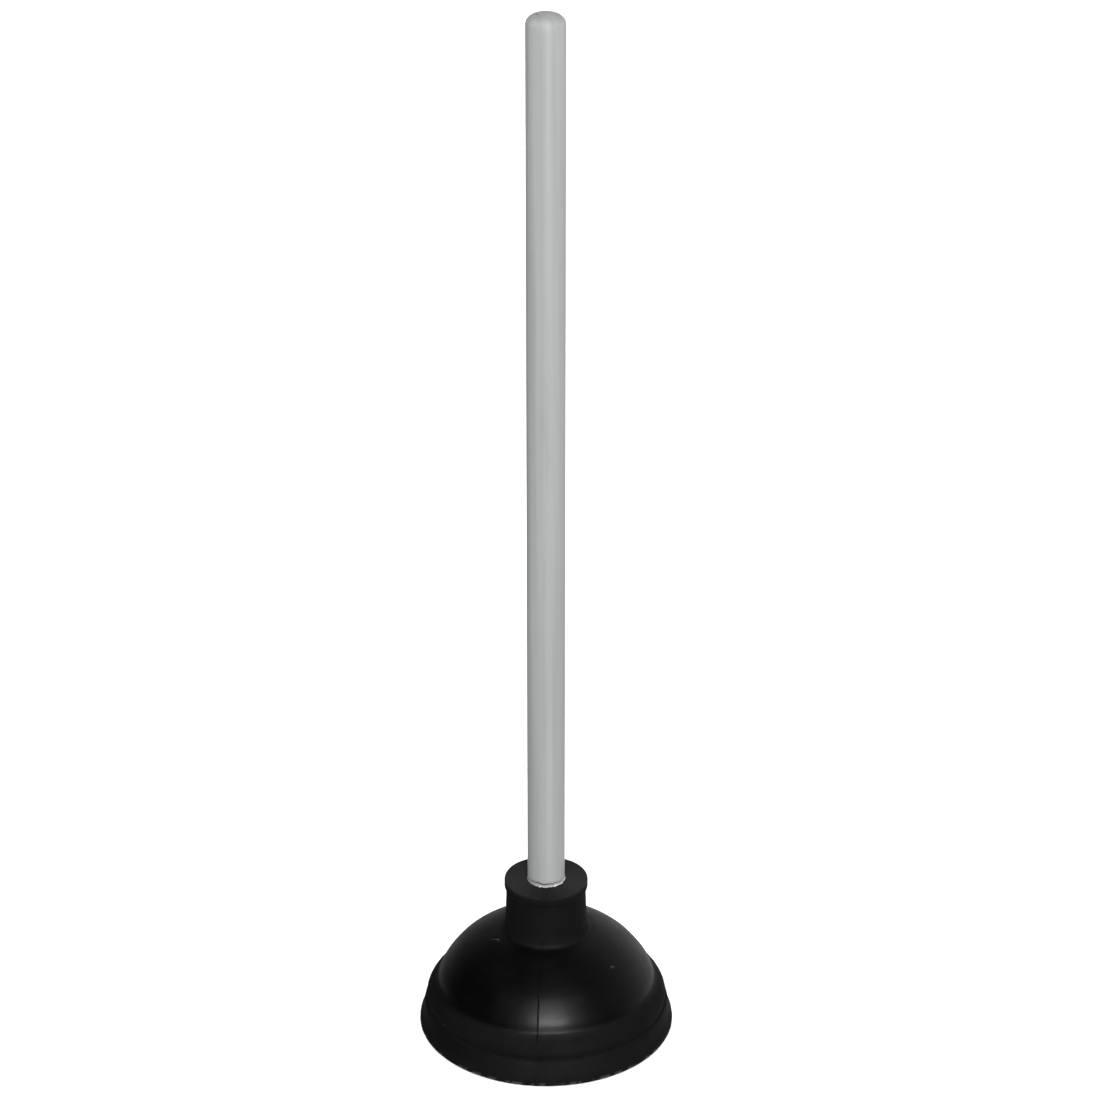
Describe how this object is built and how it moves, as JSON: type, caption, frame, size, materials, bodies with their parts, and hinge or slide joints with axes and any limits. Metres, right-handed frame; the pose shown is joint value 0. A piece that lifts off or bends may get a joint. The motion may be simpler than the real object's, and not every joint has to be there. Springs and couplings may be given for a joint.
{
  "type": "toilet plunger",
  "caption": "Toilet plunger: a stepped black rubber force cup with a slim beaded neck, on a long straight round handle painted satin grey.",
  "frame": {"origin": "centre of the cup's rim, on the plane that the rim stands on", "axes": "+Z runs from the rim up along the handle; the part is round about Z, so +X and +Y are free, and the cup's parting seam faces -Y"},
  "size_m": [0.1536, 0.1536, 0.6317],
  "materials": {
    "rubber": "black moulded rubber, satin, slightly dusty",
    "handle_paint": "wooden dowel with a satin light grey paint",
    "adhesive": "dried adhesive and chipped paint, off-white, rough"
  },
  "bodies": {
    "skirt": {"cup_skirt": "rubber"},
    "crown": {"cup_bell": "rubber"},
    "handle": {"cup_neck": "rubber", "handle": "handle_paint", "adhesive_bead": "adhesive"}
  },
  "joints": [
    {"name": "plunge", "type": "slide", "parent": "skirt", "child": "crown", "axis": [0, 0, -1], "range_m": [0, 0.025], "stiffness_N_per_m": 2500, "springref_m": -0.004, "deforming": ["cup_bell"]},
    {"name": "handle_tilt", "type": "hinge", "parent": "crown", "child": "handle", "pos_m": [0, 0, 0.064], "axis": [0, 1, 0], "range_deg": [-8, 8], "stiffness_Nm_per_rad": 15}
  ]
}
